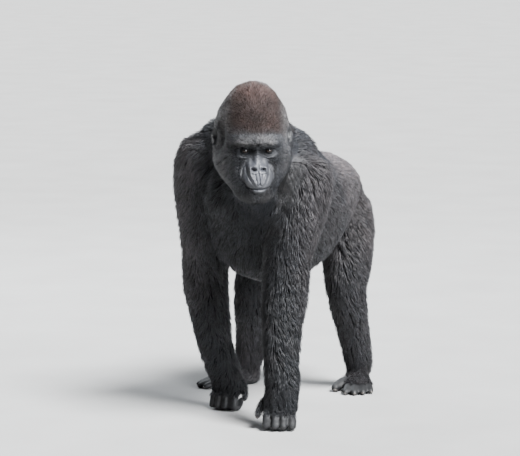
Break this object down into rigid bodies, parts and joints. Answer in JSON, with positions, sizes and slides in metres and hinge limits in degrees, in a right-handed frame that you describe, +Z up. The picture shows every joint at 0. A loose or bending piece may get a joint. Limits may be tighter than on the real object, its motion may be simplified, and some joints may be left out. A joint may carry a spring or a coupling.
{
  "type": "western lowland gorilla",
  "caption": "Life-size still model of an adult male gorilla standing on its knuckles and soles, head turned to its left.",
  "frame": {"origin": "on the floor under the middle of the box round the animal", "axes": "+Z up, the animal faces -Y, its own left is +X"},
  "size_m": [0.6788, 1.0188, 1.129],
  "materials": {
    "coat": "dense black hair with a blue-grey sheen",
    "crown": "short red-brown hair on the crown, grizzled on the brow and cheeks",
    "bare_skin": "bare grey-black skin, wrinkled, half gloss",
    "eye": "wet, dark brown"
  },
  "bodies": {
    "root": {"abdomen": "coat", "big_toe_left": "bare_skin", "big_toe_right": "bare_skin", "chest": "coat", "ear_left": "bare_skin", "ear_right": "bare_skin", "eye_left": "eye", "eye_right": "eye", "fifth_toe_left": "bare_skin", "fifth_toe_right": "bare_skin", "foot_left": "bare_skin", "foot_right": "bare_skin", "forearm_left": "coat", "forearm_right": "coat", "fourth_toe_left": "bare_skin", "fourth_toe_right": "bare_skin", "hand_left": "coat", "hand_right": "coat", "head": "crown", "index_finger_left": "bare_skin", "index_finger_right": "bare_skin", "little_finger_left": "bare_skin", "little_finger_right": "bare_skin", "middle_finger_left": "bare_skin", "middle_finger_right": "bare_skin", "neck": "coat", "ring_finger_left": "bare_skin", "ring_finger_right": "bare_skin", "second_toe_left": "bare_skin", "second_toe_right": "bare_skin", "shank_left": "coat", "shank_right": "coat", "thigh_left": "coat", "thigh_right": "coat", "third_toe_left": "bare_skin", "third_toe_right": "bare_skin", "thumb_left": "bare_skin", "thumb_right": "bare_skin", "upper_arm_left": "coat", "upper_arm_right": "coat"}
  },
  "joints": []
}
